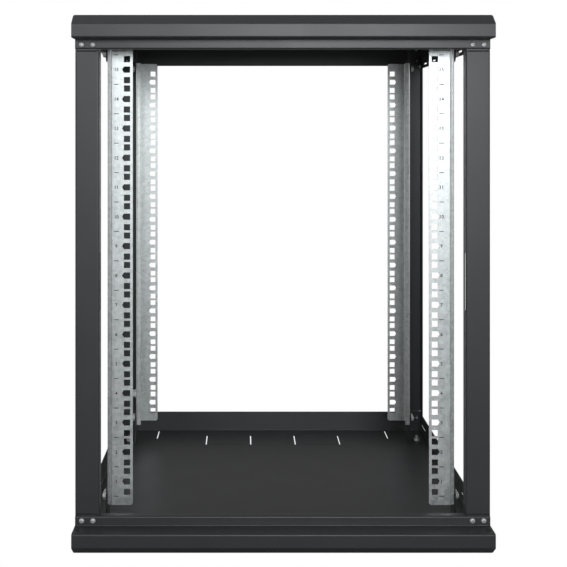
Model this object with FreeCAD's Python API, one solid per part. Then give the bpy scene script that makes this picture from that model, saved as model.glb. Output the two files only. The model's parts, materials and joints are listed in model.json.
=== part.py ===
"""Open 15-unit, 19 inch rack cabinet: two folded covers, four posts and four punched rails.

Millimetres. X runs across (the left side is negative), Y from front to back, Z up.
The origin is the middle of the base. Everything is modelled for the right-hand side,
the front and the bottom first, and mirrored from there.
"""

import FreeCAD
import Part
import math
import os

V = FreeCAD.Vector

# Punched pattern of the 19 inch interface
rack_units = 15
unit_height = 44.45
column_spacing = 465.1
outer_hole_step = 15.875
hole_side = 9.5
hole_tip = 2.8

# Overall size of the cabinet
cabinet_width = 600.0
cabinet_depth = 600.0
rail_end_margin = 13.125
rail_base_gap = 38.5

# Folded covers: a tray with a chamfered nose, a ledge and an upstand at the front
cover_sheet = 1.5
cover_bend = 1.0
cover_rise = 34.0
nose_face = 20.0
nose_chamfer = 18.6
nose_depth = 30.0
upstand_height = 14.2
upstand_return = 12.0
rear_wall_height = 38.8

# Cover details
hinge_hole = 6.0
hinge_hole_inset = 6.8
hinge_hole_back = 14.0
knockout_pitch = 170.8
knockout_width = 85.4
knockout_depth = 57.0
knockout_back = 34.0
knockout_slit = 2.0
knockout_bridge = 4.0
vent_slit_pitch = 450.0
vent_slit_length = 50.0
vent_slit_back = 4.0
hook_slot_length = 46.0
hook_slot_height = 3.0
hook_slot_rise = 14.0
front_hook_slot_y = -101.0
rear_hook_slot_y = 269.0

# Posts: channels that lap behind the covers' upstands and rear walls
post_sheet = 1.5
post_bend = 1.0
post_flange = 19.0
post_inset = 0.5
post_width = 34.9
seat_gap = 0.3
joggle_rise = 2.0
joggle_flat = 1.5
tab_clear = 1.5
front_tab_reach = 12.5
rear_tab_reach = 26.0
latch_slot_height = 84.0
latch_slot_width = 9.0

# Corner screws of the posts, pan head with a cross recess
corner_screw_inset = 10.2
corner_screw_pitch = 16.2
front_screw_drop = 6.4
rear_screw_drop = 10.2
screw_hole_depth = 5.0
pan_head_width = 7.6
pan_head_height = 3.0
pan_head_rim = 1.1
screw_width = 4.0
screw_reach = 7.0
recess_width = 1.1
recess_span = 4.2
recess_depth = 1.5


# 19 inch rails
rail_sheet = 2.0
rail_bend = 1.0
rail_margin = 8.75
rail_width = 38.7
rail_depth = 31.0
rail_lip = 9.0
rail_strip = 6.5
rail_step = 1.8
rail_step_run = 2.5
rail_corner = 2.5
front_rail_back = 99.0
rear_rail_back = 61.5

# Brackets that carry the ends of the rails
bracket_sheet = 2.5
bracket_bend = 1.5
bracket_width = 27.0
bracket_rise = 61.5
bracket_foot = 22.0
bracket_leg_corner = 8.0
bracket_foot_corner = 4.0
bracket_slot = 13.0

# Slotted side rails under the top cover
side_rail_sheet = 1.5
side_rail_bend = 1.0
side_rail_leg = 43.0
side_rail_flange = 13.0
side_rail_clear = 0.5
side_slot_height = 3.2
side_slot_length = 30.0
side_slot_pitch = 45.0
side_slot_drop = 35.9
side_slot_count = 11
side_notch_length = 84.0
side_notch_height = 12.0
side_screw_inset = 9.0
side_screw_y = (-205.0, 18.0, 240.0)
flush_head_width = 8.0
flush_head_height = 2.2

# Bolts of the brackets
bolt_width = 6.0
bolt_clear = 0.3
bracket_bolt_rise = 49.0
bracket_bolt_pitch = 12.0
cup_head_width = 11.0
cup_head_height = 2.6
nut_width = 10.0
nut_height = 4.8
nut_flange_width = 11.6
nut_flange_height = 1.2
thread_end = 1.2
stud_reach = 14.0
stud_out = 14.5
stud_head_width = 8.0
stud_head_height = 1.0

# Earthing bolt on the left rear rail
earth_rise = 95.0
earth_width = 8.0
earth_washer_width = 20.0
earth_washer_height = 1.6
earth_nut_width = 13.0
earth_nut_height = 6.5

# Places that follow from the sizes above
cabinet_height = rack_units * unit_height + 2 * (rail_end_margin + rail_base_gap)
half_width = cabinet_width / 2
mid_height = cabinet_height / 2
front_face = -cabinet_depth / 2
post_front = front_face + nose_depth
post_rear = cabinet_depth / 2 - pan_head_height
cover_inner = half_width - cover_sheet
post_outer = half_width - post_inset
post_inner = post_outer - post_width
wall_base = cover_rise + seat_gap
upstand_top = cover_rise + upstand_height
rail_inner = column_spacing / 2 - rail_margin
rail_outer = rail_inner + rail_width
rail_top = cabinet_height - rail_base_gap
front_rail_y = front_face + front_rail_back
rear_rail_y = cabinet_depth / 2 - rear_rail_back
first_unit = rail_base_gap + rail_end_margin + unit_height / 2
bracket_middle = rail_step + (rail_depth - rail_step) / 2
corner_screws = (half_width - corner_screw_inset, half_width - corner_screw_inset - corner_screw_pitch)
front_screw_z = upstand_top - front_screw_drop
rear_screw_z = rear_wall_height - rear_screw_drop


def box(x, y, z):
    """A block between two values on each axis."""
    corner = V(min(x), min(y), min(z))
    return Part.makeBox(abs(x[1] - x[0]), abs(y[1] - y[0]), abs(z[1] - z[0]), corner)


def rod(width, start, end):
    """A round bar of that diameter from one point to another."""
    run = end.sub(start)
    return Part.makeCylinder(width / 2, run.Length, start, run)


def joined(shapes):
    """One clean solid from several that touch or overlap."""
    first = shapes[0]
    return first.fuse(shapes[1:]).removeSplitter() if len(shapes) > 1 else first


def group(shapes):
    """Separate solids kept together in one node."""
    solids = [solid for shape in shapes for solid in shape.Solids]
    return Part.makeCompound(solids)


def across(shape):
    """The same piece on the other side, left for right."""
    return shape.mirror(V(0, 0, 0), V(1, 0, 0))


def upended(shape):
    """The same piece at the other end, top for bottom."""
    return shape.mirror(V(0, 0, mid_height), V(0, 0, 1))


def to_rear(shape, from_y, to_y):
    """A piece turned to face the rear, with its plane from_y brought to to_y."""
    turned = shape.mirror(V(0, from_y, 0), V(0, 1, 0))
    turned.translate(V(0, to_y - from_y, 0))
    return turned


def rounded_wire(corners, radii):
    """A closed outline in the XY plane, with each corner rounded to its own radius."""
    count = len(corners)
    starts, ends, middles = [], [], []
    for i in range(count):
        here = corners[i]
        back = corners[i - 1].sub(here)
        ahead = corners[(i + 1) % count].sub(here)
        back.normalize()
        ahead.normalize()
        opening = back.getAngle(ahead)
        reach = radii[i] / math.tan(opening / 2)
        starts.append(here + back * reach)
        ends.append(here + ahead * reach)
        bisector = back + ahead
        if radii[i] > 0:
            bisector.normalize()
            to_arc = radii[i] / math.sin(opening / 2) - radii[i]
            middles.append(here + bisector * to_arc)
        else:
            middles.append(None)
    edges = []
    for i in range(count):
        if middles[i] is not None:
            edges.append(Part.Arc(starts[i], middles[i], ends[i]).toShape())
        following = starts[(i + 1) % count]
        if ends[i].distanceToPoint(following) > 1e-6:
            edges.append(Part.LineSegment(ends[i], following).toShape())
    return Part.Wire(edges)


def slab(corners, radii, length):
    """A solid with that outline in the XY plane, raised along Z."""
    points = [V(x, y, 0) for x, y in corners]
    return Part.Face(rounded_wire(points, radii)).extrude(V(0, 0, length))


def offset_path(path, shift):
    """The same open path moved sideways, to its left where shift is positive."""
    moved = []
    last = len(path) - 1
    for i, here in enumerate(path):
        before = path[i] - path[i - 1] if i > 0 else path[1] - path[0]
        after = path[i + 1] - path[i] if i < last else path[i] - path[i - 1]
        left_before = V(-before.y, before.x, 0).normalize()
        left_after = V(-after.y, after.x, 0).normalize()
        middle = (left_before + left_after).normalize()
        moved.append(here + middle * (shift / middle.dot(left_before)))
    return moved


def folded(path, sheet, bend, length):
    """A folded strip: a sheet to the left of a path in the XY plane, raised along Z."""
    line = [V(x, y, 0) for x, y in path]
    other = offset_path(line, sheet)
    near, far = [0.0], [0.0]
    for i in range(1, len(line) - 1):
        turn = (line[i] - line[i - 1]).cross(line[i + 1] - line[i]).z
        near.append(bend + sheet if turn > 0 else bend)
        far.append(bend if turn > 0 else bend + sheet)
    near.append(0.0)
    far.append(0.0)
    corners = line + other[::-1]
    face = Part.Face(rounded_wire(corners, near + far[::-1]))
    return face.extrude(V(0, 0, length))


def stand_on_x(shape, start):
    """Turns a piece drawn in XY and raised along Z into one drawn in YZ that runs along X."""
    standing = shape.copy()
    standing.rotate(V(0, 0, 0), V(1, 1, 1), 120)
    standing.translate(V(start, 0, 0))
    return standing


def stand_on_y(shape, start):
    """Turns a piece drawn in XY and raised along Z into one drawn in XZ that runs along Y."""
    length = shape.BoundBox.ZLength
    standing = shape.copy()
    standing.rotate(V(0, 0, 0), V(1, 0, 0), 90)
    standing.translate(V(0, start + length, 0))
    return standing


def turned(profile, place, axis):
    """A revolved piece: profile points are (radius, height along the axis)."""
    points = [V(radius, 0, height) for radius, height in profile]
    face = Part.Face(Part.makePolygon(points + [points[0]]))
    solid = face.revolve(V(0, 0, 0), V(0, 0, 1), 360)
    solid.Placement = FreeCAD.Placement(place, FreeCAD.Rotation(V(0, 0, 1), axis))
    return solid


def hexagon(width, height, bore, place, axis):
    """A plain hexagonal nut body, centred on an axis."""
    radius = width / math.sqrt(3)
    angles = [math.radians(60 * i) for i in range(6)]
    points = [V(radius * math.cos(a), radius * math.sin(a), 0) for a in angles]
    body = Part.Face(Part.makePolygon(points + [points[0]])).extrude(V(0, 0, height))
    body = body.cut(rod(bore, V(0, 0, 0), V(0, 0, height)))
    body.Placement = FreeCAD.Placement(place, FreeCAD.Rotation(V(0, 0, 1), axis))
    return body


def cover_outline(inset, top):
    """The tray's side outline in YZ, moved inwards by a sheet or not at all."""
    nose_bottom = cover_rise - nose_face
    slope = math.atan2(nose_bottom, nose_chamfer)
    front_low = nose_bottom + inset * math.tan((math.pi / 2 - slope) / 2)
    floor_front = front_face + nose_chamfer + inset * math.tan(slope / 2)
    return [
        (floor_front, inset),
        (post_rear - inset, inset),
        (post_rear - inset, top),
        (front_face + inset, top),
        (front_face + inset, front_low),
    ]


def knockout(x):
    """The slits round one cable-entry knock-out, with bridges left at its corners."""
    low = post_rear - knockout_back - knockout_depth
    high = low + knockout_depth
    half = knockout_width / 2
    level = (-1, cover_sheet + 1)
    slits = []
    for side in (-half, half):
        edge = (x + side - knockout_slit / 2, x + side + knockout_slit / 2)
        slits.append(box(edge, (low, high), level))
    for y in (low, high):
        run = (x - half + knockout_bridge, x - knockout_bridge / 2)
        slits.append(box(run, (y - knockout_slit / 2, y + knockout_slit / 2), level))
        run = (x + knockout_bridge / 2, x + half - knockout_bridge)
        slits.append(box(run, (y - knockout_slit / 2, y + knockout_slit / 2), level))
    return slits


def cover_openings():
    """Everything that is punched in a cover."""
    level = (-1, cover_sheet + 1)
    tools = []
    for x in (-knockout_pitch / 2, knockout_pitch / 2):
        tools += knockout(x)
    for x in (-vent_slit_pitch / 2, vent_slit_pitch / 2):
        end = post_rear - vent_slit_back
        run = (x - knockout_slit / 2, x + knockout_slit / 2)
        tools.append(box(run, (end - vent_slit_length, end), level))
    for side in (-1, 1):
        x = side * (half_width - hinge_hole_inset)
        y = front_face + hinge_hole_back
        tools.append(rod(hinge_hole, V(x, y, cover_rise - cover_sheet - 1), V(x, y, cover_rise + 1)))
        wall = (side * (cover_inner - 1), side * (half_width + 1))
        height = (hook_slot_rise - hook_slot_height / 2, hook_slot_rise + hook_slot_height / 2)
        for middle in (front_hook_slot_y, rear_hook_slot_y):
            run = (middle - hook_slot_length / 2, middle + hook_slot_length / 2)
            tools.append(box(wall, run, height))
    return tools


def cover_upstand():
    """The end of the cover's sheet: up from the ledge behind the nose, then a return to the rear."""
    start = post_front - cover_sheet - cover_bend
    path = [
        (start, cover_rise - cover_sheet),
        (post_front + cover_sheet, cover_rise - cover_sheet),
        (post_front + cover_sheet, upstand_top - cover_sheet),
        (post_front + upstand_return, upstand_top - cover_sheet),
    ]
    line = folded(path, cover_sheet, cover_bend, 2 * post_outer)
    body = stand_on_x(line, -post_outer)
    behind = (post_front + cover_sheet, post_front + upstand_return + 1)
    level = (cover_rise - cover_sheet - 1, upstand_top + 1)
    inner = post_inner - seat_gap
    ends = [box((side * inner, side * (half_width + 1)), behind, level) for side in (-1, 1)]
    return body.cut(ends)


def rear_wall():
    """The cover's rear wall, up from the floor between the side walls and over them to the corners."""
    wall = box((-post_outer, post_outer), (post_rear - cover_sheet, post_rear), (cover_rise, rear_wall_height))
    low = box((-cover_inner, cover_inner), (post_rear - cover_sheet, post_rear), (cover_rise / 2, cover_rise))
    return wall.fuse(low)


def plain_cover():
    """The tray: floor, side walls, nose, ledge, upstand and rear wall, all of one sheet."""
    outer_bend = cover_bend + cover_sheet
    outline = cover_outline(0, cover_rise)
    body = slab(outline, [outer_bend, outer_bend, 0, outer_bend, outer_bend], cabinet_width)
    body = stand_on_x(body, -half_width)
    section = [(-half_width, 0), (half_width, 0), (half_width, cover_rise), (-half_width, cover_rise)]
    body = body.common(stand_on_y(slab(section, [outer_bend, outer_bend, 0, 0], cabinet_depth), front_face))
    space_top = cover_rise - cover_sheet
    outline = cover_outline(cover_sheet, space_top)
    space = slab(outline, [cover_bend, cover_bend, 0, cover_bend, cover_bend], 2 * cover_inner)
    space = stand_on_x(space, -cover_inner)
    section = [
        (-cover_inner, cover_sheet),
        (cover_inner, cover_sheet),
        (cover_inner, space_top),
        (-cover_inner, space_top),
    ]
    space = space.common(stand_on_y(slab(section, [cover_bend, cover_bend, 0, 0], cabinet_depth), front_face))
    ledge_end = post_front - cover_sheet - cover_bend
    mouth = box(
        (-cover_inner, cover_inner),
        (ledge_end, post_rear - cover_sheet),
        (cover_sheet + outer_bend, cover_rise + 1),
    )
    body = joined([body.cut([space, mouth]), cover_upstand(), rear_wall()])
    screws = corner_screw_holes(post_front, front_screw_z, 1) + corner_screw_holes(post_rear, rear_screw_z, -1)
    screws += [across(hole) for hole in screws]
    return body.cut(cover_openings() + cover_stud_holes() + screws)


def top_cover():
    """The same tray turned over, with holes for the screws of the side rails as well."""
    holes = [flush_screw(place, bolt_clear / 2) for place in side_screw_places()]
    holes += [across(hole) for hole in holes]
    return upended(plain_cover().cut(holes))


def flush_screw(place, clear):
    """A countersunk screw whose head lies flush with the outside of the floor."""
    head = flush_head_width / 2 + clear
    shank = screw_width / 2 + clear
    profile = [(0, 0), (head, 0), (shank, flush_head_height), (shank, screw_reach), (0, screw_reach)]
    return turned(profile, place, V(0, 0, 1))


def stud_places():
    """Where the brackets' studs stand, on the right side of the floor."""
    x = rail_outer + stud_out
    front = front_rail_y + bracket_middle
    rear = rear_rail_y - bracket_middle
    return [V(x, front, 0), V(x, rear, 0)]


def cover_stud_holes():
    """The holes that a cover has for the pressed-in studs."""
    studs = [floor_stud(place) for place in stud_places()]
    return studs + [across(stud) for stud in studs]


def pan_screw(place, axis, reach):
    """A pan-head screw with a cross recess: place is under the head, axis points along the shank."""
    head = pan_head_width / 2
    crown = pan_head_height - pan_head_rim
    profile = [
        (0, -pan_head_height),
        (head * 0.45, -pan_head_height),
        (head * 0.8, -pan_head_height + crown * 0.4),
        (head, -pan_head_rim),
        (head, 0),
        (screw_width / 2, 0),
        (screw_width / 2, reach),
        (0, reach),
    ]
    screw = turned(profile, V(0, 0, 0), V(0, 0, 1))
    level = (-pan_head_height - 1, -pan_head_height + recess_depth)
    bar = (-recess_width / 2, recess_width / 2)
    span = (-recess_span / 2, recess_span / 2)
    screw = screw.cut([box(bar, span, level), box(span, bar, level)])
    screw.Placement = FreeCAD.Placement(place, FreeCAD.Rotation(V(0, 0, 1), axis))
    return screw


def corner_screw_places(plane, height):
    """The two screw places at the lower end of a right-hand post."""
    return [V(x, plane, height) for x in corner_screws]


def all_corners(shapes):
    """Pieces at the right bottom corner, repeated at the other three."""
    right = shapes + [upended(shape) for shape in shapes]
    return right + [across(shape) for shape in right]


def corner_screw_holes(plane, height, along):
    """Clear holes for the two screws at the lower end of a right-hand post."""
    width = screw_width + bolt_clear
    deep = along * screw_hole_depth
    places = corner_screw_places(plane, height)
    return [rod(width, place - V(0, along, 0), place + V(0, deep, 0)) for place in places]


def post_end(cover_edge, tab_reach):
    """The tab at a post's lower end, set back by a joggle to lap behind the cover's sheet."""
    turn_high = cover_edge + seat_gap + joggle_flat + joggle_rise
    turn_low = cover_edge + seat_gap + joggle_flat
    top = turn_high + joggle_rise
    inner = post_front + post_sheet
    path = [(post_front, top), (post_front, turn_high), (inner, turn_low), (inner, cover_edge - tab_reach)]
    start = post_inner + post_sheet + tab_clear
    length = post_width - 2 * (post_sheet + tab_clear)
    return stand_on_x(folded(path, post_sheet, post_bend / 2, length), start)


def right_post(cover_edge, tab_reach, screw_z):
    """A post as a channel open to the rear, with a joggled tab behind the cover at each end."""
    back = post_front + post_flange
    path = [(post_inner, back), (post_inner, post_front), (post_outer, post_front), (post_outer, back)]
    channel = folded(path, post_sheet, post_bend, cabinet_height - 2 * wall_base)
    channel.translate(V(0, 0, wall_base))
    face_end = cover_edge + seat_gap + joggle_flat + joggle_rise
    face = (post_front - 1, post_front + post_sheet)
    gone = box((post_inner - 1, post_outer + 1), face, (wall_base - 1, cover_edge + seat_gap))
    inside = (post_inner + post_sheet, post_outer - post_sheet)
    gone_inside = box(inside, face, (cover_edge, face_end))
    bottom = post_end(cover_edge, tab_reach)
    body = channel.cut([gone, gone_inside, upended(gone), upended(gone_inside)])
    body = joined([body, bottom, upended(bottom)])
    holes = corner_screw_holes(post_front, screw_z, 1)
    return body.cut(holes + [upended(hole) for hole in holes])


def latch_slot():
    """The slot at mid height in a front post's inner wall, where a door's latch goes in."""
    middle = post_front + post_flange / 2 + post_sheet / 2
    run = (middle - latch_slot_width / 2, middle + latch_slot_width / 2)
    height = (mid_height - latch_slot_height / 2, mid_height + latch_slot_height / 2)
    return box((post_inner - 1, post_inner + post_sheet + 1), run, height)


def front_right_post():
    """Front post with its latch slot."""
    return right_post(upstand_top, front_tab_reach, front_screw_z).cut(latch_slot())


def rear_right_post():
    """Rear post, the same channel turned to the rear, with longer tabs for the taller rear walls."""
    post = right_post(rear_wall_height, rear_tab_reach, rear_screw_z)
    return to_rear(post, post_front, post_rear)


def hole_outline(pointed):
    """A square hole's corners about its centre, or the one with a tip that points outwards."""
    half = hole_side / 2
    corners = [(-half, -half), (half, -half)]
    if pointed:
        corners.append((half + hole_tip, 0))
    return corners + [(half, half), (-half, half)]


def rail_holes(y):
    """All the punched holes of a right-hand rail: three in each unit, the middle one pointed."""
    x = column_spacing / 2
    tools = []
    for unit in range(rack_units):
        for step in (-1, 0, 1):
            z = first_unit + unit * unit_height + step * outer_hole_step
            points = [V(x + a, y - 1, z + b) for a, b in hole_outline(step == 0)]
            face = Part.Face(Part.makePolygon(points + [points[0]]))
            tools.append(face.extrude(V(0, rail_sheet + 2, 0)))
    return tools


def web_bolt_places():
    """The bracket's bolts through the lower end of a right front rail's side web."""
    middle = front_rail_y + bracket_middle
    shifts = (-bracket_bolt_pitch / 2, bracket_bolt_pitch / 2)
    return [V(rail_outer, middle + shift, bracket_bolt_rise) for shift in shifts]


def front_right_rail():
    """A 19 inch rail: punched face, a small step, a deep side web and a lip that turns back in."""
    step_x = rail_outer - rail_strip
    path = [
        (rail_inner, front_rail_y),
        (step_x, front_rail_y),
        (step_x + rail_step_run, front_rail_y + rail_step),
        (rail_outer, front_rail_y + rail_step),
        (rail_outer, front_rail_y + rail_depth),
        (rail_outer - rail_lip, front_rail_y + rail_depth),
    ]
    body = folded(path, rail_sheet, rail_bend, rail_top - rail_base_gap)
    body.translate(V(0, 0, rail_base_gap))
    corners = []
    for z in (rail_base_gap, rail_top):
        points = [V(rail_inner, front_rail_y - 1, z)]
        points.append(V(rail_inner + rail_corner, front_rail_y - 1, z))
        inward = rail_corner if z < mid_height else -rail_corner
        points.append(V(rail_inner, front_rail_y - 1, z + inward))
        face = Part.Face(Part.makePolygon(points + [points[0]]))
        corners.append(face.extrude(V(0, rail_sheet + 2, 0)))
    width = bolt_width + 2 * bolt_clear
    bolts = [rod(width, place - V(rail_sheet + 1, 0, 0), place + V(1, 0, 0)) for place in web_bolt_places()]
    bolts += [upended(hole) for hole in bolts]
    earth = V(rail_outer, front_rail_y + bracket_middle, earth_rise)
    earth_hole = rod(earth_width + bolt_clear, earth - V(rail_sheet + 1, 0, 0), earth + V(1, 0, 0))
    return body.cut(rail_holes(front_rail_y) + corners + bolts + [earth_hole])


def rounded_plate(width, depth, corner, height):
    """A plate from the origin whose two far corners are rounded, raised along Z."""
    return slab([(0, 0), (width, 0), (width, depth), (0, depth)], [0, corner, corner, 0], height)


def front_right_bracket():
    """The bracket that carries a rail's lower end: a leg on the web and a foot on the floor."""
    low = front_rail_y + bracket_middle - bracket_width / 2
    foot_end = rail_outer + bracket_foot
    path = [(rail_outer, bracket_rise), (rail_outer, cover_sheet), (foot_end, cover_sheet)]
    body = stand_on_y(folded(path, bracket_sheet, bracket_bend, bracket_width), low)
    foot = rounded_plate(bracket_foot, bracket_width, bracket_foot_corner, bracket_rise)
    foot.translate(V(rail_outer, low, cover_sheet))
    leg = rounded_plate(bracket_rise, bracket_width, bracket_leg_corner, bracket_foot)
    leg.rotate(V(0, 0, 0), V(0, 1, 0), -90)
    leg.translate(V(foot_end, low, 0))
    body = body.common(foot).common(leg)
    width = bolt_width + 2 * bolt_clear
    tools = [rod(width, place - V(1, 0, 0), place + V(bracket_sheet + 1, 0, 0)) for place in web_bolt_places()]
    place = stud_places()[0]
    level = (0, cover_sheet + bracket_sheet + 1)
    reach = bracket_slot / 2 - width / 2
    tools.append(box((place.x - width / 2, place.x + width / 2), (place.y - reach, place.y + reach), level))
    for end in (-reach, reach):
        foot = place + V(0, end, 0)
        tools.append(rod(width, foot, foot + V(0, 0, cover_sheet + bracket_sheet + 1)))
    return body.cut(tools)


def side_screw_places():
    """The flush screws through the top cover, drawn at the bottom and turned over later."""
    return [V(cover_inner - side_screw_inset, y, 0) for y in side_screw_y]


def right_side_rail():
    """The slotted angle along the right side, drawn on the floor and turned over to the top."""
    front = post_front + post_flange + side_rail_clear
    rear = post_rear - post_flange - side_rail_clear
    path = [
        (cover_inner - side_rail_flange, cover_sheet),
        (cover_inner, cover_sheet),
        (cover_inner, cover_sheet + side_rail_leg),
    ]
    body = stand_on_y(folded(path, side_rail_sheet, side_rail_bend, rear - front), front)
    tools = []
    middle = (front + rear) / 2
    height = cover_sheet + side_slot_drop
    wall = (cover_inner - side_rail_sheet - 1, cover_inner + 1)
    edge = cover_sheet + side_rail_leg
    notch = (middle - side_notch_length / 2, middle + side_notch_length / 2)
    tools.append(box(wall, notch, (edge - side_notch_height, edge + 1)))
    for i in range(side_slot_count):
        offset = (i - (side_slot_count - 1) / 2) * side_slot_pitch
        if abs(offset) < (side_notch_length + side_slot_length) / 2 + side_slot_height:
            continue
        y = middle + offset
        flat = side_slot_length / 2 - side_slot_height / 2
        level = (height - side_slot_height / 2, height + side_slot_height / 2)
        tools.append(box(wall, (y - flat, y + flat), level))
        for end in (y - flat, y + flat):
            tools.append(rod(side_slot_height, V(wall[0], end, height), V(wall[1], end, height)))
    tools += [flush_screw(place, 0) for place in side_screw_places()]
    return upended(body.cut(tools))


def cup_bolt(place, axis, grip, seat):
    """A cup-head bolt: place is under the head, grip is the length to the nut's far side."""
    head = cup_head_width / 2
    end = grip + thread_end
    profile = [
        (0, -cup_head_height),
        (head * 0.42, -cup_head_height * 0.86),
        (head * 0.78, -cup_head_height * 0.5),
        (head, -seat),
        (head, 0),
        (bolt_width / 2, 0),
        (bolt_width / 2, end),
        (0, end),
    ]
    return turned(profile, place, axis)


def flange_nut(place, axis):
    """A hexagonal nut on a round flange, its seat at place and its axis pointing away from the seat."""
    flange = turned(
        [
            (bolt_width / 2, 0),
            (nut_flange_width / 2, 0),
            (nut_flange_width / 2, nut_flange_height / 2),
            (nut_width / 2, nut_flange_height),
            (bolt_width / 2, nut_flange_height),
        ],
        place,
        axis,
    )
    body = hexagon(nut_width, nut_height - nut_flange_height, bolt_width, place + axis * nut_flange_height, axis)
    return joined([flange, body])


def floor_stud(place):
    """A pressed-in stud: its thin head is flush with the outside of the floor."""
    head = stud_head_width / 2
    shank = bolt_width / 2
    profile = [(0, 0), (head, 0), (head, stud_head_height), (shank, stud_head_height), (shank, stud_reach), (0, stud_reach)]
    return turned(profile, place, V(0, 0, 1))


def bracket_bolts():
    """All the bolts through the webs of the rails, heads on the inside."""
    grip = rail_sheet + bracket_sheet + nut_height
    front = [cup_bolt(place - V(rail_sheet, 0, 0), V(1, 0, 0), grip, 0.6) for place in web_bolt_places()]
    rear = [to_rear(bolt, front_rail_y, rear_rail_y) for bolt in front]
    return group(all_corners(front + rear))


def bracket_nuts():
    """The flange nuts of those bolts, on the outside of the brackets."""
    front = [flange_nut(place + V(bracket_sheet, 0, 0), V(1, 0, 0)) for place in web_bolt_places()]
    rear = [to_rear(nut, front_rail_y, rear_rail_y) for nut in front]
    return group(all_corners(front + rear))


def floor_studs():
    """The pressed-in studs of both covers, one for each bracket."""
    return group(all_corners([floor_stud(place) for place in stud_places()]))


def stud_nuts():
    """The flange nuts on those studs."""
    seat = V(0, 0, cover_sheet + bracket_sheet)
    return group(all_corners([flange_nut(place + seat, V(0, 0, 1)) for place in stud_places()]))


def front_post_screws():
    """Two pan-head screws at each end of the front posts."""
    places = corner_screw_places(post_front, front_screw_z)
    return group(all_corners([pan_screw(place, V(0, 1, 0), screw_reach) for place in places]))


def rear_post_screws():
    """Two pan-head screws at each end of the rear posts."""
    places = corner_screw_places(post_rear, rear_screw_z)
    return group(all_corners([pan_screw(place, V(0, -1, 0), screw_reach) for place in places]))


def side_rail_screws():
    """The flush screws through the top cover into both side rails."""
    screws = [upended(flush_screw(place, 0)) for place in side_screw_places()]
    return group(screws + [across(screw) for screw in screws])


def earthing_bolt():
    """The earthing bolt, with its head inside the left rear rail's web."""
    place = V(-rail_outer + rail_sheet, rear_rail_y - bracket_middle, earth_rise)
    head = hexagon(earth_nut_width, earth_nut_height - 1.5, 0.5, place, V(1, 0, 0))
    end = V(-rail_outer - earth_washer_height - earth_nut_height - 0.5, place.y, place.z)
    shank = rod(earth_width, place + V(earth_nut_height - 1.5, 0, 0), end)
    return joined([head, shank])


def earthing_nut():
    """The wide washer and the nut of the earthing bolt, outside the web."""
    place = V(-rail_outer, rear_rail_y - bracket_middle, earth_rise)
    out = V(-1, 0, 0)
    bore = earth_width / 2
    rim = earth_washer_width / 2
    washer = turned([(bore, 0), (rim, 0), (rim, earth_washer_height), (bore, earth_washer_height)], place, out)
    nut = hexagon(earth_nut_width, earth_nut_height - 0.5, earth_width, place + out * earth_washer_height, out)
    return group([washer, nut])


def build():
    """Every node's name and shape."""
    nodes = {}
    nodes["bottom_cover"] = plain_cover()
    nodes["top_cover"] = top_cover()
    nodes["front_right_post"] = front_right_post()
    nodes["front_left_post"] = across(nodes["front_right_post"])
    nodes["rear_right_post"] = rear_right_post()
    nodes["rear_left_post"] = across(nodes["rear_right_post"])
    nodes["side_rail_right"] = right_side_rail()
    nodes["side_rail_left"] = across(nodes["side_rail_right"])
    front_rail = front_right_rail()
    rear_rail = to_rear(front_rail, front_rail_y, rear_rail_y)
    nodes["rack_rail_front_right"] = front_rail
    nodes["rack_rail_front_left"] = across(front_rail)
    nodes["rack_rail_rear_right"] = rear_rail
    nodes["rack_rail_rear_left"] = across(rear_rail)
    front_bracket = front_right_bracket()
    rear_bracket = to_rear(front_bracket, front_rail_y, rear_rail_y)
    for end, bracket in (("front", front_bracket), ("rear", rear_bracket)):
        nodes["bracket_" + end + "_right_bottom"] = bracket
        nodes["bracket_" + end + "_left_bottom"] = across(bracket)
        nodes["bracket_" + end + "_right_top"] = upended(bracket)
        nodes["bracket_" + end + "_left_top"] = upended(across(bracket))
    nodes["bracket_bolts"] = bracket_bolts()
    nodes["bracket_nuts"] = bracket_nuts()
    nodes["floor_studs"] = floor_studs()
    nodes["stud_nuts"] = stud_nuts()
    nodes["front_post_screws"] = front_post_screws()
    nodes["rear_post_screws"] = rear_post_screws()
    nodes["side_rail_screws"] = side_rail_screws()
    nodes["earthing_bolt"] = earthing_bolt()
    nodes["earthing_nut"] = earthing_nut()
    return nodes


os.makedirs("parts", exist_ok=True)
for name, shape in build().items():
    shape.exportStep("parts/" + name + ".step")
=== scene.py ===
"""Looks for an open 19 inch rack cabinet: finishes, unit marks, fasteners and a photo stage."""

import json
import math

import bmesh
import bpy
from bpy.props import FloatProperty, FloatVectorProperty, IntProperty, PointerProperty
from bpy.types import Operator, Panel, PropertyGroup
from mathutils import Matrix, Vector


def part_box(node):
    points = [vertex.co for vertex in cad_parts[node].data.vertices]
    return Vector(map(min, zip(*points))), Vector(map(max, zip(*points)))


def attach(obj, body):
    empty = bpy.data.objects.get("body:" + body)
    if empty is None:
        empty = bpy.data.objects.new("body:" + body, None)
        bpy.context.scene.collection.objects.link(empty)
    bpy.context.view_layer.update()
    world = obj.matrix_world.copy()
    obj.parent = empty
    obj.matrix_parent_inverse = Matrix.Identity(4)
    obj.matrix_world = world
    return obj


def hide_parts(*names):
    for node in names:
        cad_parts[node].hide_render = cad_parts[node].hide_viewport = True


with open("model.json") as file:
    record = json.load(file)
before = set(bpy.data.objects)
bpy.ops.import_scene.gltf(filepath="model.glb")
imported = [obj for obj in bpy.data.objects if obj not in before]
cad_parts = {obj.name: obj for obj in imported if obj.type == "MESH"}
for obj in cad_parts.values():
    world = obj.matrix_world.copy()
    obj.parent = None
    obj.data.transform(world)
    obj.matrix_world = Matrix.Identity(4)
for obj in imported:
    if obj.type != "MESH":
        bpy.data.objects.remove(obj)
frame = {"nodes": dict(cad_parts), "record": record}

bl_info = {
    "name": "Open Rack Cabinet Looks",
    "version": (1, 0, 0),
    "blender": (4, 5, 0),
    "location": "View3D > Sidebar > Rack",
    "description": "Finishes, unit marks, fasteners and a photo stage for an open rack cabinet",
    "category": "Object",
}

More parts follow.
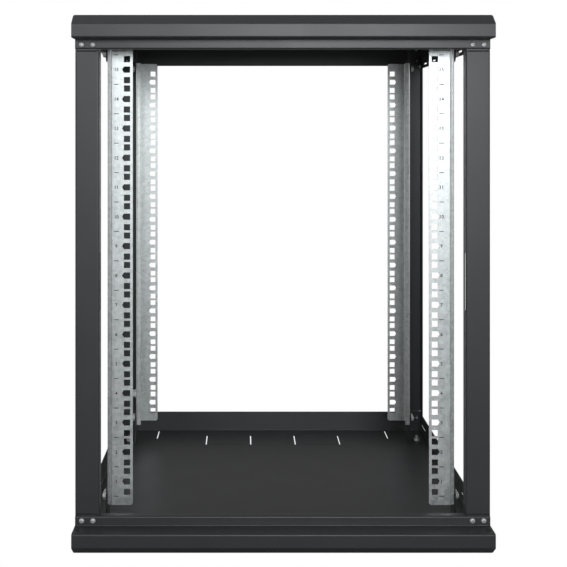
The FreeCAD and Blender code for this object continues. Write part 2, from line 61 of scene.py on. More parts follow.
MM = 0.001
TURN = 2 * math.pi
QUARTER_TURN = TURN / 4
WHITE = (1.0, 1.0, 1.0, 1.0)

# Half of the cabinet's height: the middle of a post, which stands midway between the covers.
POST_LOW, POST_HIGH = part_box("front_left_post")
HALF_HEIGHT = (POST_LOW.z + POST_HIGH.z) / 2

# The finish of each material slot.
FINISHES = {
    "black_powder": "Powder coat",
    "zinc_sheet": "Zinc sheet",
    "bright_screw": "Bright screw",
    "black_screw": "Blackened screw",
}

# The sizes of the patterns in the finishes and on the floor, and the zinc's relief.
COAT_CLOUDS = 60 * MM
ZINC_MOTTLE = 6 * MM
ZINC_STREAKS = 1.6 * MM
ZINC_RELIEF = 0.02 * MM
SCREW_WEAR = 1.2 * MM
INK_WEAR = 0.8 * MM
FLOOR_PATCHES = 800 * MM

# The steps of a screw head's dome, of a thread and of a nut. A nut needs a multiple of twelve,
# so that the corners of its hexagon fall on steps.
DOME_STEPS = 8
THREAD_STEPS = 24
THREAD_ROWS_PER_TURN = 6
NUT_STEPS = 48

# How far each screw is turned against the one before it, in radians.
GOLDEN_ANGLE = 2.399

# How far a neck stands back from its thread, and how far the thread reaches into the neck.
NECK_SLACK = 0.05 * MM
NECK_OVERLAP = 0.1 * MM

# The height of a digit as a share of the font's size.
DIGIT_SHARE = 0.69

# Where the backdrop and the side walls of the room begin and where they reach their full
# brightness, as the part of the looking direction that points to them.
BACKDROP_EDGE = (0.3, 0.9)
SIDE_EDGE = (0.45, 0.95)


def length(name, description, default):
    """A size property in metres, given here in millimetres."""
    return FloatProperty(
        name=name,
        description=description,
        default=default * MM,
        min=0.0,
        unit="LENGTH",
        precision=5,
    )


def colour(name, description, default):
    """A colour property."""
    return FloatVectorProperty(
        name=name,
        description=description,
        default=default,
        size=3,
        min=0.0,
        max=1.0,
        subtype="COLOR",
    )


def amount(name, description, default, high=1.0, unit="NONE"):
    """A plain factor from 0 up to high, or a power in watts."""
    return FloatProperty(
        name=name, description=description, default=default, min=0.0, max=high, unit=unit
    )


def point(name, description, default):
    """A place in the scene, in metres."""
    return FloatVectorProperty(
        name=name, description=description, default=default, size=3, unit="LENGTH"
    )


def across_and_up(name, description, default, unit="NONE"):
    """Two numbers, one across and one up, either plain or in metres."""
    return FloatVectorProperty(
        name=name, description=description, default=default, size=2, unit=unit
    )


class RackFinish(PropertyGroup):
    """Colours and textures of the cabinet's surfaces."""

    coat: colour("Powder coat", "Colour of the powder coat", (0.02226, 0.02289, 0.02394))
    coat_roughness: amount("Coat roughness", "How matt the powder coat is", 0.425)
    coat_grain: length("Coat grain", "Size of the powder coat's orange peel", 0.9)
    coat_relief: length("Coat relief", "Depth of the orange peel", 0.012)
    blackened: amount("Blackening", "Colour of the black screws as a share of the coat's", 1.3, 5.0)
    zinc: colour("Zinc", "Colour of the zinc-plated rails", (0.522, 0.542, 0.536))
    zinc_roughness: amount("Zinc roughness", "How dull the zinc is", 0.425)
    zinc_spangle: length("Zinc spangle", "Size of the zinc's crystals", 5.0)
    zinc_contrast: amount("Spangle contrast", "How far the crystals differ in brightness", 0.18)
    screw: colour("Screws", "Colour of the bright screws and nuts", (0.51, 0.51, 0.50))
    screw_roughness: amount("Screw roughness", "How dull the screws are", 0.56)
    print_ink: colour("Ink", "Colour of the printed numbers", (0.055, 0.055, 0.06))


class RackPrint(PropertyGroup):
    """Sizes of the marks printed on the front rails."""

    units: IntProperty(name="Units", description="Number of rack units", default=15, min=1)
    unit: length("Unit height", "Height of one rack unit", 44.45)
    first: length("First unit", "Height of the lowest unit's middle", 73.85)
    left: length("Left column", "Distance of the left marks from the middle of the cabinet", 248.6)
    right: length("Right column", "Distance of the right marks from the middle of the cabinet", 242.6)
    digit: length("Digit height", "Height of the printed digits", 4.9)
    bold: length("Digit weight", "How far the strokes are widened to each side", 0.16)
    dash: length("Dash length", "Length of the line between two units", 7.2)
    dash_height: length("Dash height", "Thickness of that line", 1.15)
    ink: length("Ink thickness", "How far the ink stands out", 0.04)


class RackFasteners(PropertyGroup):
    """Sizes of the screws, bolts and nuts that the CAD model leaves plain."""

    cross_span: length("Cross span", "Width of a cross recess", 4.4)
    cross_width: length("Cross width", "Width of one arm of the cross recess", 0.95)
    cross_depth: length("Cross depth", "Depth of the cross recess", 1.7)
    pitch: length("Thread pitch", "Distance between two turns of the bolts' thread", 1.0)
    thread: length("Thread depth", "Depth of the thread", 0.55)
    pan_height: length("Pan head", "Height of the corner screws' heads", 3.0)
    pan_shank: length("Corner screw", "Radius of the corner screws' shanks", 2.0)
    bolt: length("Bolt", "Radius of the bolts' and studs' thread", 3.0)
    cup_height: length("Cup head", "Height of the bolts' heads", 2.6)
    bolt_neck: length("Bolt neck", "Length of the smooth neck under a bolt's head", 4.5)
    stud_head: length("Stud head", "Radius of the studs' flat heads", 4.0)
    stud_plate: length("Stud plate", "Thickness of those heads", 1.0)
    stud_neck: length("Stud neck", "Length of the smooth neck above a stud's head", 2.0)
    nut_flats: length("Nut", "Distance of the nuts' opposite flats", 10.0)
    nut_rim: length("Nut rim", "Diameter of the nuts' flanges", 11.6)
    nut_flange: length("Nut flange", "Height of the nuts' flanges", 1.2)
    nut_height: length("Nut height", "Height of the nuts", 4.8)
    flush_head: length("Flush head", "Radius of the countersunk heads", 4.0)
    flush_depth: length("Flush depth", "Depth of the countersunk heads", 2.4)
    flush_shank: length("Flush shank", "Radius of those screws' shanks", 1.8)
    flush_length: length("Flush length", "Length of those screws", 7.0)
    facets: IntProperty(name="Facets", description="Sides of the round heads", default=40, min=12)


class RackStage(PropertyGroup):
    """The photo's camera, lights, floor and room."""

    camera: point("Camera", "Place of the camera", (-0.0564, -1.725, 0.6107))
    lens: FloatProperty(
        name="Lens", description="Focal length in millimetres", default=64.06, min=1.0, unit="CAMERA"
    )
    shift: across_and_up("Shift", "Camera shift across and up", (0.0704, -0.2775))
    key: amount("Key light", "Power of the soft light near the camera", 36.4, 1000.0, "POWER")
    key_place: point("Key place", "Place of that light", (0.3, -2.9, 0.87))
    key_size: across_and_up("Key size", "Width and height of that light", (0.5, 0.6), "LENGTH")
    fill: amount("Fill light", "Power of the soft light left of the camera", 7.2, 1000.0, "POWER")
    fill_place: point("Fill place", "Place of that light", (-0.7, -2.9, 1.15))
    fill_size: across_and_up("Fill size", "Width and height of that light", (0.5, 0.4), "LENGTH")
    front_aim: point("Front aim", "Point that both front lights look at", (0.0, -0.25, 0.5))
    top: amount("Top light", "Power of the soft light above", 5.1, 1000.0, "POWER")
    top_place: point("Top place", "Place of that light", (-0.4, -0.6, 2.4))
    top_size: across_and_up("Top size", "Width and height of that light", (2.2, 2.2), "LENGTH")
    top_aim: point("Top aim", "Point that the light above looks at", (0.0, 0.0, 0.3))
    tint: colour("Light colour", "Colour of the three soft lights", (0.935, 0.975, 1.0))
    floor: colour("Floor", "Colour that the cabinet reflects of the floor", (0.22, 0.22, 0.22))
    floor_reach: length("Floor reach", "How far the floor reaches to each side", 3000.0)
    room: amount("Room", "Brightness of the room all round", 0.24, 10.0)
    backdrop: amount("Backdrop", "Extra brightness of the wall behind the cabinet", 0.06, 10.0)
    sides: amount("Side walls", "Extra brightness of the walls left and right", 1.04, 10.0)


class Value:
    """A number or a socket in a shader, with the usual arithmetic."""

    def __init__(self, tree, source):
        self.tree = tree
        self.source = source

    def maths(self, operation, *others):
        """One Math node with this value first."""
        sockets = dict(enumerate((self, *others)))
        node = make(self.tree, "ShaderNodeMath", sockets, operation=operation)
        return Value(self.tree, node.outputs[0])

    def __add__(self, other):
        return self.maths("ADD", other)

    def __sub__(self, other):
        return self.maths("SUBTRACT", other)

    def __rsub__(self, other):
        return Value(self.tree, other) - self

    def __mul__(self, other):
        return self.maths("MULTIPLY", other)

    def __truediv__(self, other):
        return self.maths("DIVIDE", other)

    def __rtruediv__(self, other):
        return Value(self.tree, other) / self

    __radd__ = __add__
    __rmul__ = __mul__

    def between(self, low, high):
        """0 below low, 1 above high and a straight ramp between them."""
        ramp = (self - low) / (high - low)
        return ramp.maths("MAXIMUM", 0.0).maths("MINIMUM", 1.0)


def feed(tree, socket, value):
    """Gives a socket a number, a colour or the output of another node."""
    if isinstance(value, Value):
        value = value.source
    if isinstance(value, bpy.types.NodeSocket):
        tree.links.new(value, socket)
    else:
        socket.default_value = value


def make(tree, kind, sockets=None, **settings):
    """A node of this kind: its settings are set first, then its sockets, by name or number."""
    node = tree.nodes.new(kind)
    for name, value in settings.items():
        setattr(node, name, value)
    for name, value in (sockets or {}).items():
        feed(tree, node.inputs[name], value)
    return node


def blank(name):
    """The empty tree of a new material, and the object's coordinates in it."""
    material = bpy.data.materials.new(name)
    material.use_nodes = True
    tree = material.node_tree
    tree.nodes.clear()
    return tree, make(tree, "ShaderNodeTexCoord").outputs["Object"]


def noise(tree, place, size, detail=2.0, roughness=0.5, stretch=(1.0, 1.0, 1.0)):
    """Noise with features of about that size in metres, longer along stretched axes."""
    scale = [1.0 / (size * s) for s in stretch]
    mapped = make(tree, "ShaderNodeMapping", {"Vector": place, "Scale": scale})
    sockets = {"Vector": mapped.outputs[0], "Scale": 1.0, "Detail": detail, "Roughness": roughness}
    return Value(tree, make(tree, "ShaderNodeTexNoise", sockets).outputs["Fac"])


def around(level, *swings):
    """A level that masks from 0 to 1 raise and lower, each by half of its swing."""
    for mask, swing in swings:
        level = (mask - 0.5) * swing + level
    return level


def tinted(tree, colour_value, *swings):
    """A colour that masks make lighter and darker."""
    sockets = {0: colour_value, "Scale": around(1.0, *swings)}
    return make(tree, "ShaderNodeVectorMath", sockets, operation="SCALE").outputs[0]


def surface(tree, sockets):
    """The Principled shader as the material's surface."""
    shader = make(tree, "ShaderNodeBsdfPrincipled", sockets)
    make(tree, "ShaderNodeOutputMaterial", {"Surface": shader.outputs[0]})


def white_to_camera(tree, shader, white_kind):
    """Plain white for the camera, and the given shader for every other ray."""
    white = make(tree, white_kind, {"Color": WHITE, "Strength": 1.0})
    seen = make(tree, "ShaderNodeLightPath").outputs["Is Camera Ray"]
    sockets = {"Fac": seen, 1: shader.outputs[0], 2: white.outputs[0]}
    return make(tree, "ShaderNodeMixShader", sockets).outputs[0]


def coat_material(name, finish, shade=1.0):
    """Black powder coat with a fine orange peel and slightly uneven gloss."""
    tree, place = blank(name)
    peel = noise(tree, place, finish.coat_grain, roughness=0.55)
    broad = noise(tree, place, COAT_CLOUDS)
    bump = make(tree, "ShaderNodeBump", {"Distance": finish.coat_relief, "Height": peel})
    shaded = tuple(part * shade for part in finish.coat)
    surface(
        tree,
        {
            "Base Color": tinted(tree, shaded, (broad, 0.16), (peel, 0.10)),
            "Roughness": around(finish.coat_roughness, (broad, 0.08), (peel, 0.05)),
            "Normal": bump.outputs[0],
        },
    )


def zinc_material(name, finish):
    """Zinc-plated sheet: mottled crystals, faint rolling streaks and a soft sheen."""
    tree, place = blank(name)
    sockets = {"Vector": place, "Scale": 1.0 / finish.zinc_spangle}
    cells = make(tree, "ShaderNodeTexVoronoi", sockets)
    split = make(tree, "ShaderNodeSeparateColor", {"Color": cells.outputs["Color"]})
    crystal = Value(tree, split.outputs[0])
    mottle = noise(tree, place, ZINC_MOTTLE, detail=4.0, roughness=0.7)
    streak = noise(tree, place, ZINC_STREAKS, stretch=(1.0, 1.0, 60.0))
    sockets = {"Strength": 0.6, "Distance": ZINC_RELIEF, "Height": mottle + streak}
    grain = make(tree, "ShaderNodeBump", sockets)
    light_and_dark = ((crystal, finish.zinc_contrast), (mottle, 0.56), (streak, 0.20))
    surface(
        tree,
        {
            "Base Color": tinted(tree, finish.zinc, *light_and_dark),
            "Metallic": 0.86,
            "Roughness": around(finish.zinc_roughness, (crystal, 0.05), (mottle, 0.14)),
            "Normal": grain.outputs[0],
        },
    )


def screw_material(name, finish):
    """Bright plated steel with a little wear."""
    tree, place = blank(name)
    wear = noise(tree, place, SCREW_WEAR, detail=3.0)
    surface(
        tree,
        {
            "Base Color": tinted(tree, finish.screw, (wear, 0.24)),
            "Metallic": 0.7,
            "Roughness": around(finish.screw_roughness, (wear, 0.16)),
        },
    )


def ink_material(name, finish):
    """Matt printing ink that is worn thin in places."""
    tree, place = blank(name)
    worn = noise(tree, place, INK_WEAR)
    surface(tree, {"Base Color": tinted(tree, finish.print_ink, (worn, 0.8)), "Roughness": 0.75})


def painted(piece, slot, *nodes, finish=None):
    """Gives a piece the finish of its slot, hangs it on the root body and hides the CAD nodes that it
    stands for.
    """
    piece.data.materials.clear()
    piece.data.materials.append(bpy.data.materials[finish or FINISHES[slot]])
    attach(piece, "root")
    if nodes:
        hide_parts(*nodes)


def from_bmesh(name, mesh, sharp_angle=0.0):
    """A new object at the origin from a bmesh, which is used up.

    With a sharp_angle it is smooth wherever its surface bends less than that.
    """
    data = bpy.data.meshes.new(name)
    if sharp_angle:
        for face in mesh.faces:
            face.smooth = True
        for edge in mesh.edges:
            edge.smooth = edge.calc_face_angle(0.0) < sharp_angle
    mesh.to_mesh(data)
    mesh.free()
    piece = bpy.data.objects.new(name, data)
    bpy.context.scene.collection.objects.link(piece)
    return piece


def solids_of(node):
    """The lowest and highest corner of each separate solid in a CAD node."""
    mesh = bmesh.new()
    mesh.from_mesh(frame["nodes"][node].data)
    bmesh.ops.remove_doubles(mesh, verts=mesh.verts, dist=1e-6)
    waiting = set(mesh.verts)
    boxes = []
    while waiting:
        front = [waiting.pop()]
        low = front[0].co.copy()
        high = front[0].co.copy()
        while front:
            vert = front.pop()
            low = Vector(map(min, low, vert.co))
            high = Vector(map(max, high, vert.co))
            for edge in vert.link_edges:
                other = edge.other_vert(vert)
                if other in waiting:
                    waiting.remove(other)
                    front.append(other)
        boxes.append((low, high))
    mesh.free()
    return sorted(boxes, key=lambda box: tuple(round(c, 5) for c in box[0]))


def revolved(mesh, profile, facets):
    """Adds a closed round piece along Z from (radius, height) points that start and end on the axis."""
    verts = [mesh.verts.new((radius, 0.0, height)) for radius, height in profile]
    edges = [mesh.edges.new(ends) for ends in zip(verts, verts[1:])]
    bmesh.ops.spin(
        mesh,
        geom=verts + edges,
        cent=(0.0, 0.0, 0.0),
        axis=(0.0, 0.0, 1.0),
        angle=TURN,
        steps=facets,
        use_merge=True,
    )
    bmesh.ops.remove_doubles(mesh, verts=mesh.verts, dist=1e-7)
    bmesh.ops.recalc_face_normals(mesh, faces=mesh.faces)


def new_ring(mesh, steps, closed):
    """Adds a circle around Z and returns its edges; a closed one has a face inside."""
    verts = bmesh.ops.create_circle(mesh, cap_ends=closed, radius=1.0, segments=steps)["verts"]
    return list(dict.fromkeys(edge for vert in verts for edge in vert.link_edges))


def next_ring(mesh, ring):
    """Extrudes a ring of edges on the spot and returns the new ring."""
    made = bmesh.ops.extrude_edge_only(mesh, edges=ring)["geom"]
    return [part for part in made if isinstance(part, bmesh.types.BMEdge)]


def shaped(ring, height, reach, *inputs):
    """Moves a ring to a height, each corner as far out as reach says for its angle."""
    for vert in dict.fromkeys(vert for edge in ring for vert in edge.verts):
        angle = math.atan2(vert.co.y, vert.co.x)
        out = reach(angle, *inputs)
        vert.co = (out * math.cos(angle), out * math.sin(angle), height)


def thread_reach(angle, along, cut, sizes):
    """How far out a thread lies after so much of its length, with a share of its depth cut off."""
    ridge = abs((along / sizes.pitch - angle / TURN) % 1.0 - 0.5) * 2
    return sizes.bolt - sizes.thread * (ridge + cut)


def nut_reach(angle, limit, hexagon, sizes):
    """How far out a nut's outline lies, between a circle and a hexagon by the hexagon's share."""
    flat = sizes.nut_flats / 2 / math.cos(angle % (TURN / 6) - TURN / 12)
    return limit * (1 - hexagon) + min(flat, limit) * hexagon


def threaded(mesh, start, end, sizes):
    """Adds a threaded rod along Z with closed ends, and a chamfer at its far one."""
    rows = int((end - start) / sizes.pitch * THREAD_ROWS_PER_TURN)
    chamfer_rows = 5
    ring = new_ring(mesh, THREAD_STEPS, True)
    for row in range(rows + 1):
        if row:
            ring = next_ring(mesh, ring)
        along = (end - start) * row / rows
        cut = max(0.0, 1.0 - (rows - row) / chamfer_rows)
        shaped(ring, start + along, thread_reach, along, cut, sizes)
    bmesh.ops.edgeloop_fill(mesh, edges=ring)
    bmesh.ops.recalc_face_normals(mesh, faces=mesh.faces)


def dome(head, height, flat_share):
    """Points of a dome from its rim up to 0, where that share of the head's radius stays flat."""
    points = []
    for step in range(1, DOME_STEPS + 1):
        angle = step / DOME_STEPS * QUARTER_TURN
        radius = head * (flat_share + (1.0 - flat_share) * math.cos(angle))
        points.append((radius, height * (1.0 - math.sin(angle))))
    return points


def pan_screw(head, full, sizes):
    """A corner screw along Z: the top of its head at 0, the end of its shank at full."""
    seat = sizes.pan_height
    shank = sizes.pan_shank
    rounding = 0.15 * MM
    rim = seat - 0.75 * MM
    tip_in = 0.3 * MM
    tip_back = 0.5 * MM
    flat_share = 0.38
    profile = [(0.0, full), (shank - tip_in, full), (shank, full - tip_back), (shank, seat)]
    profile += [(head - rounding, seat), (head, seat - rounding), (head, rim)]
    profile += dome(head, rim, flat_share)
    profile.append((0.0, 0.0))
    screw = bmesh.new()
    revolved(screw, profile, sizes.facets)
    return with_cross(screw, sizes)


def cup_bolt(head, full, sizes):
    """A bolt along Z: the top of its cup head at 0, the end of its thread at full."""
    seat = sizes.cup_height
    rim = seat - 0.5 * MM
    neck = sizes.bolt - NECK_SLACK
    neck_end = seat + sizes.bolt_neck
    profile = [(0.0, 0.0)]
    for step in range(1, DOME_STEPS + 1):
        angle = step / DOME_STEPS * QUARTER_TURN
        profile.append((head * math.sin(angle), rim * (1.0 - math.cos(angle))))
    profile += [(head, seat), (neck, seat), (neck, neck_end), (0.0, neck_end)]
    bolt = bmesh.new()
    revolved(bolt, profile, sizes.facets)
    threaded(bolt, neck_end - NECK_OVERLAP, full, sizes)
    return bolt


def pressed_stud(full, sizes):
    """A stud along Z: the outside of its flat head at 0, the end of its thread at full."""
    head = sizes.stud_head
    plate = sizes.stud_plate
    neck = sizes.bolt - NECK_SLACK
    neck_end = plate + sizes.stud_neck
    profile = [(0.0, 0.0), (head, 0.0), (head, plate), (neck, plate), (neck, neck_end), (0.0, neck_end)]
    stud = bmesh.new()
    revolved(stud, profile, sizes.facets)
    threaded(stud, neck_end - NECK_OVERLAP, full, sizes)
    return stud


def flange_nut(sizes):
    """A nut along Z from its seat at 0: a hexagon with rounded corners on a conical flange."""
    rim = sizes.nut_rim / 2
    bore = sizes.bolt
    top = sizes.nut_height
    rim_edge = 0.7 * MM
    flange = sizes.nut_flange
    side = flange + 0.3 * MM
    # The height, the greatest reach and how far the outline is a hexagon and no circle.
    levels = (
        (0.0, rim, 0.0),
        (rim_edge, rim, 0.0),
        (flange, rim * 0.93, 0.4),
        (side, rim, 1.0),
        (top - rim_edge, rim, 1.0),
        (top, rim * 0.86, 0.6),
        (top, bore, 0.0),
        (0.0, bore, 0.0),
    )
    nut = bmesh.new()
    first = new_ring(nut, NUT_STEPS, False)
    ring = first
    for count, (height, limit, hexagon) in enumerate(levels):
        if count:
            ring = next_ring(nut, ring)
        shaped(ring, height, nut_reach, limit, hexagon, sizes)
    bmesh.ops.bridge_loops(nut, edges=first + ring)
    bmesh.ops.recalc_face_normals(nut, faces=nut.faces)
    return nut


def flush_screw(sizes):
    """A countersunk screw along Z: the top of its head at 0."""
    head = sizes.flush_head
    shank = sizes.flush_shank
    depth = sizes.flush_depth
    full = sizes.flush_length
    edge_in = 0.2 * MM
    edge_down = 0.12 * MM
    root = 0.2 * MM
    profile = [(0.0, 0.0), (head - edge_in, 0.0), (head, edge_down)]
    profile += [(shank + root, depth - root), (shank, depth), (shank, full), (0.0, full)]
    screw = bmesh.new()
    revolved(screw, profile, sizes.facets)
    return with_cross(screw, sizes)


def cut_by(mesh, tool):
    """The first mesh with the second cut out of it, as a new bmesh; both are used up."""
    body = from_bmesh("body", mesh)
    cutter = from_bmesh("cutter", tool)
    change = body.modifiers.new("cut", "BOOLEAN")
    change.operation = "DIFFERENCE"
    change.solver = "EXACT"
    change.object = cutter
    made = evaluated(body)
    for piece in (body, cutter):
        gone = piece.data
        bpy.data.objects.remove(piece)
        bpy.data.meshes.remove(gone)
    return made


def evaluated(piece):
    """What an object looks like with its modifiers, as a new bmesh."""
    bpy.context.view_layer.update()
    shown = piece.evaluated_get(bpy.context.evaluated_depsgraph_get())
    data = bpy.data.meshes.new_from_object(shown)
    made = bmesh.new()
    made.from_mesh(data)
    bpy.data.meshes.remove(data)
    return made


def cross_arm(sizes, turn):
    """One arm of a cross recess that narrows from the head's top at 0 down to its depth."""
    # The shares of its span and width that are left at its depth.
    deep_span = 0.45
    deep_width = 0.8
    above = 1.0 * MM
    arm = bmesh.new()
    verts = bmesh.ops.create_cube(arm, size=1.0)["verts"]
    for vert in verts:
        deep = vert.co.z > 0
        vert.co.x *= sizes.cross_span * (deep_span if deep else 1.0)
        vert.co.y *= sizes.cross_width * (deep_width if deep else 1.0)
        vert.co.z = sizes.cross_depth if deep else -above
    bmesh.ops.rotate(arm, verts=verts, cent=(0, 0, 0), matrix=Matrix.Rotation(turn, 3, "Z"))
    return arm


def with_cross(mesh, sizes):
    """A screw with the two arms of a cross recess cut into the top of its head."""
    for turn in (0.0, QUARTER_TURN):
        mesh = cut_by(mesh, cross_arm(sizes, turn))
    return mesh


def placed(target, source, place, axis, spin):
    """Adds a copy of one mesh, drawn about Z, at a place and along an axis."""
    data = bpy.data.meshes.new("copy")
    source.to_mesh(data)
    before = len(target.verts)
    target.from_mesh(data)
    bpy.data.meshes.remove(data)
    target.verts.ensure_lookup_table()
    turn = axis.to_track_quat("Z", "Y").to_matrix().to_4x4() @ Matrix.Rotation(spin, 4, "Z")
    matrix = Matrix.Translation(place) @ turn
    bmesh.ops.transform(target, matrix=matrix, verts=target.verts[before:])


def set_of(name, source, node, full, facing, sharp_degrees=32):
    """One piece with a copy of the source, which is full long, in place of each of a node's solids.

    facing gives a copy's direction from the middle of its solid. Each copy has another turn,
    so that no two screws stand at the same angle.
    """
    mesh = bmesh.new()
    for count, (low, high) in enumerate(solids_of(node)):
        middle = (low + high) / 2
        axis = facing(middle)
        placed(mesh, source, middle - axis * full / 2, axis, count * GOLDEN_ANGLE % TURN)
    return from_bmesh(name, mesh, math.radians(sharp_degrees))


def to_rear(middle):
    """The front corner screws point to the rear."""
    return Vector((0, 1, 0))


def to_front(middle):
    """The rear corner screws point to the front."""
    return Vector((0, -1, 0))


def to_near_side(middle):
    """What goes through the rails' webs points to the cabinet's nearer side."""
    return Vector((1 if middle.x > 0 else -1, 0, 0))


def to_inside(middle):
    """What stands on the covers points into the cabinet."""
    return Vector((0, 0, 1 if middle.z < HALF_HEIGHT else -1))


def downwards(middle):
    """The screws in the top cover point down."""
    return Vector((0, 0, -1))


class RACK_OT_finish(Operator):
    """Makes the finishes and gives one to every CAD node"""

    bl_idname = "rack.finish"
    bl_label = "Finish the Sheet Metal"

    def execute(self, context):
        finish = context.scene.rack_finish
        coat_material("Powder coat", finish)
        coat_material("Blackened screw", finish, shade=finish.blackened)
        zinc_material("Zinc sheet", finish)
        screw_material("Bright screw", finish)
        ink_material("Ink", finish)
        for entry in frame["record"]["subparts"]:
            data = frame["nodes"][entry["node"]].data
            data.materials.clear()
            data.materials.append(bpy.data.materials[FINISHES[entry["material_slot"]]])
        return {"FINISHED"}


class RACK_OT_marks(Operator):
    """Prints the unit numbers and the lines between units on both front rails"""

    bl_idname = "rack.marks"
    bl_label = "Print the Unit Marks"

    def execute(self, context):
        marks = context.scene.rack_print
        jobs = (
            ("unit_marks_left", -marks.left, "rack_rail_front_left"),
            ("unit_marks_right", marks.right, "rack_rail_front_right"),
        )
        for name, column, node in jobs:
            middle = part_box(node)[0].y - marks.ink / 2
            mesh = bmesh.new()
            for unit in range(marks.units):
                place = (column, middle, marks.first + unit * marks.unit)
                add_number(mesh, str(unit + 1), place, marks)
            for line in range(marks.units + 1):
                place = (column, middle, marks.first + (line - 0.5) * marks.unit)
                add_dash(mesh, place, marks)
            painted(from_bmesh(name, mesh), "zinc_sheet", finish="Ink")
        return {"FINISHED"}


def add_dash(mesh, place, marks):
    """One short line, with its middle at that place."""
    made = bmesh.ops.create_cube(mesh, size=1.0)["verts"]
    size = Matrix.Diagonal((marks.dash, marks.ink, marks.dash_height, 1.0))
    bmesh.ops.transform(mesh, matrix=Matrix.Translation(place) @ size, verts=made)


def add_number(mesh, text, place, marks):
    """One number with its middle at that place, drawn as text and made a mesh first."""
    curve = bpy.data.curves.new("number", "FONT")
    curve.body = text
    curve.align_x = "CENTER"
    curve.size = marks.digit / DIGIT_SHARE
    curve.extrude = marks.ink / 2
    curve.offset = marks.bold
    curve.resolution_u = 6
    writing = bpy.data.objects.new("number", curve)
    bpy.context.scene.collection.objects.link(writing)
    number = evaluated(writing)
    bpy.data.objects.remove(writing)
    bpy.data.curves.remove(curve)
    heights = [vert.co.y for vert in number.verts]
    drop = (max(heights) + min(heights)) / 2
    bmesh.ops.translate(number, vec=(0.0, -drop, 0.0), verts=number.verts)
    placed(mesh, number, Vector(place), Vector((0, -1, 0)), 0.0)
    number.free()


class RACK_OT_pan_screws(Operator):
    """Builds the pan-head screws with domed heads and cross recesses"""

    bl_idname = "rack.pan_screws"
    bl_label = "Build the Pan-Head Screws"

    def execute(self, context):
        low, high = solids_of("front_post_screws")[0]
        full = high.y - low.y
        screw = pan_screw((high.x - low.x) / 2, full, context.scene.rack_fasteners)
        jobs = (
            ("pan_screws_front", "front_post_screws", to_rear),
            ("pan_screws_rear", "rear_post_screws", to_front),
        )
        for name, node, facing in jobs:
            piece = set_of(name, screw, node, full, facing)
            painted(piece, "bright_screw", node)
        screw.free()
        return {"FINISHED"}


class RACK_OT_bolts(Operator):
    """Builds the cup-head bolts with threaded ends, and the pressed-in studs"""

    bl_idname = "rack.bolts"
    bl_label = "Build the Bolts and Studs"

    def execute(self, context):
        sizes = context.scene.rack_fasteners
        low, high = solids_of("bracket_bolts")[0]
        full = high.x - low.x
        bolt = cup_bolt((high.z - low.z) / 2, full, sizes)
        piece = set_of("bolts_with_thread", bolt, "bracket_bolts", full, to_near_side)
        painted(piece, "bright_screw", "bracket_bolts")
        bolt.free()
        low, high = solids_of("floor_studs")[0]
        full = high.z - low.z
        stud = pressed_stud(full, sizes)
        piece = set_of("studs_with_thread", stud, "floor_studs", full, to_inside)
        painted(piece, "bright_screw", "floor_studs")
        stud.free()
        return {"FINISHED"}


class RACK_OT_nuts(Operator):
    """Builds the flange nuts on the bolts and on the studs"""

    bl_idname = "rack.nuts"
    bl_label = "Build the Flange Nuts"

    def execute(self, context):
        sizes = context.scene.rack_fasteners
        nut = flange_nut(sizes)
        jobs = (
            ("nuts_on_rails", "bracket_nuts", to_near_side),
            ("nuts_on_studs", "stud_nuts", to_inside),
        )
        for name, node, facing in jobs:
            piece = set_of(name, nut, node, sizes.nut_height, facing, sharp_degrees=30)
            painted(piece, "bright_screw", node)
        nut.free()
        return {"FINISHED"}


class RACK_OT_flush_screws(Operator):
    """Builds the countersunk screws with their cross recesses"""

    bl_idname = "rack.flush_screws"
    bl_label = "Build the Flush Screws"

    def execute(self, context):
        sizes = context.scene.rack_fasteners
        screw = flush_screw(sizes)
        full = sizes.flush_length
        piece = set_of("flush_screws", screw, "side_rail_screws", full, downwards, sharp_degrees=30)
        painted(piece, "black_screw", "side_rail_screws")
        screw.free()
        return {"FINISHED"}


class RACK_OT_stage(Operator):
    """Sets the floor, the soft lights, the white background and the photo's camera"""

    bl_idname = "rack.stage"
    bl_label = "Set the Stage"

    def execute(self, context):
        stage = context.scene.rack_stage
        add_floor(stage)
        for name in ("key", "fill", "top"):
            add_light(name, stage)
        add_room(context.scene, stage)
        add_camera(context.scene, stage)
        context.scene.view_settings.view_transform = "Standard"
        return {"FINISHED"}


def add_floor(stage):
    """A wide floor, white to the camera and in its own colour where the cabinet reflects it."""
    mesh = bmesh.new()
    bmesh.ops.create_grid(mesh, x_segments=1, y_segments=1, size=stage.floor_reach)
    floor = from_bmesh("floor", mesh)
    tree, place = blank("Floor")
    patches = noise(tree, place, FLOOR_PATCHES, detail=1.0)
    sockets = {"Base Color": tinted(tree, stage.floor, (patches, 0.02)), "Roughness": 0.8}
    plain = make(tree, "ShaderNodeBsdfPrincipled", sockets)
    shown = white_to_camera(tree, plain, "ShaderNodeEmission")
    make(tree, "ShaderNodeOutputMaterial", {"Surface": shown})
    floor.data.materials.append(bpy.data.materials["Floor"])


def add_light(name, stage):
    """The soft rectangular light whose place, size and power the stage gives under that name."""
    place = getattr(stage, name + "_place")
    aim = stage.top_aim if name == "top" else stage.front_aim
    data = bpy.data.lights.new(name + "_light", "AREA")
    data.shape = "RECTANGLE"
    data.size, data.size_y = getattr(stage, name + "_size")
    data.energy = getattr(stage, name)
    data.color = stage.tint
    light = bpy.data.objects.new(name + "_light", data)
    light.location = place
    light.rotation_euler = (Vector(aim) - Vector(place)).to_track_quat("-Z", "Y").to_euler()
    bpy.context.scene.collection.objects.link(light)


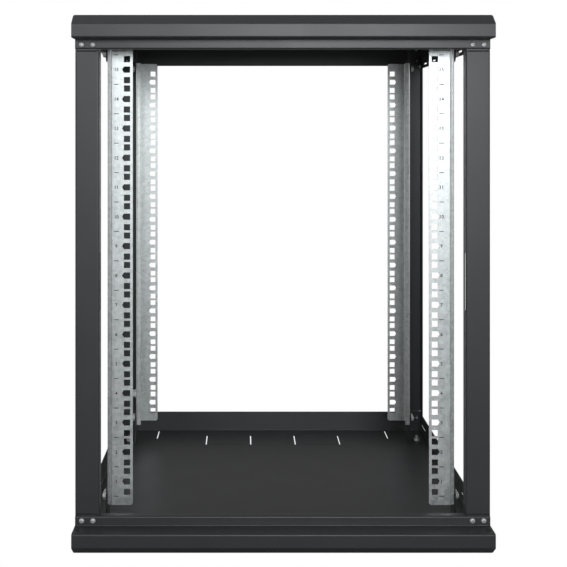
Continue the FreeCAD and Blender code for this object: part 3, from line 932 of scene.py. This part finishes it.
def add_room(scene, stage):
    """White for the camera, and for everything else a dim room with brighter walls."""
    world = bpy.data.worlds.new("Room")
    scene.world = world
    world.use_nodes = True
    tree = world.node_tree
    tree.nodes.clear()
    way = make(tree, "ShaderNodeTexCoord").outputs["Generated"]
    parts = make(tree, "ShaderNodeSeparateXYZ", {"Vector": way}).outputs
    behind = Value(tree, parts["Y"]).between(*BACKDROP_EDGE)
    beside = Value(tree, parts["X"]).maths("ABSOLUTE").between(*SIDE_EDGE)
    level = behind * stage.backdrop + beside * stage.sides + stage.room
    room = make(tree, "ShaderNodeBackground", {"Color": WHITE, "Strength": level})
    shown = white_to_camera(tree, room, "ShaderNodeBackground")
    make(tree, "ShaderNodeOutputWorld", {"Surface": shown})


def add_camera(scene, stage):
    """The photo's camera, level and straight in front, with its shift."""
    data = bpy.data.cameras.new("camera")
    data.lens = stage.lens
    data.shift_x, data.shift_y = stage.shift
    data.clip_start = 0.05
    data.clip_end = 50.0
    camera = bpy.data.objects.new("camera", data)
    camera.location = stage.camera
    camera.rotation_euler = (QUARTER_TURN, 0.0, 0.0)
    scene.collection.objects.link(camera)
    scene.camera = camera


class RACK_PT_panel(Panel):
    """Buttons and sizes for the cabinet's looks"""

    bl_idname = "RACK_PT_panel"
    bl_label = "Rack Cabinet"
    bl_space_type = "VIEW_3D"
    bl_region_type = "UI"
    bl_category = "Rack"

    def draw(self, context):
        for operator in OPERATORS:
            self.layout.operator(operator.bl_idname)
        for name, kind in GROUPS.items():
            box = self.layout.box()
            box.label(text=kind.__name__)
            for key in kind.__annotations__:
                box.prop(getattr(context.scene, name), key)


GROUPS = {
    "rack_finish": RackFinish,
    "rack_print": RackPrint,
    "rack_fasteners": RackFasteners,
    "rack_stage": RackStage,
}
OPERATORS = (
    RACK_OT_finish,
    RACK_OT_marks,
    RACK_OT_pan_screws,
    RACK_OT_bolts,
    RACK_OT_nuts,
    RACK_OT_flush_screws,
    RACK_OT_stage,
)


def register():
    """Registers every class and hangs the sizes on the scene."""
    for kind in GROUPS.values():
        bpy.utils.register_class(kind)
    for operator in OPERATORS:
        bpy.utils.register_class(operator)
    bpy.utils.register_class(RACK_PT_panel)
    for name, kind in GROUPS.items():
        setattr(bpy.types.Scene, name, PointerProperty(type=kind))


def unregister():
    """Takes everything off again."""
    for name in GROUPS:
        delattr(bpy.types.Scene, name)
    bpy.utils.unregister_class(RACK_PT_panel)
    for operator in reversed(OPERATORS):
        bpy.utils.unregister_class(operator)
    for kind in reversed(list(GROUPS.values())):
        bpy.utils.unregister_class(kind)


def main():
    """Builds the looks."""
    register()
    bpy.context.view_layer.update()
    bpy.ops.rack.finish()
    bpy.ops.rack.marks()
    bpy.ops.rack.pan_screws()
    bpy.ops.rack.bolts()
    bpy.ops.rack.nuts()
    bpy.ops.rack.flush_screws()
    bpy.ops.rack.stage()


if __name__ == "__main__":
    main()
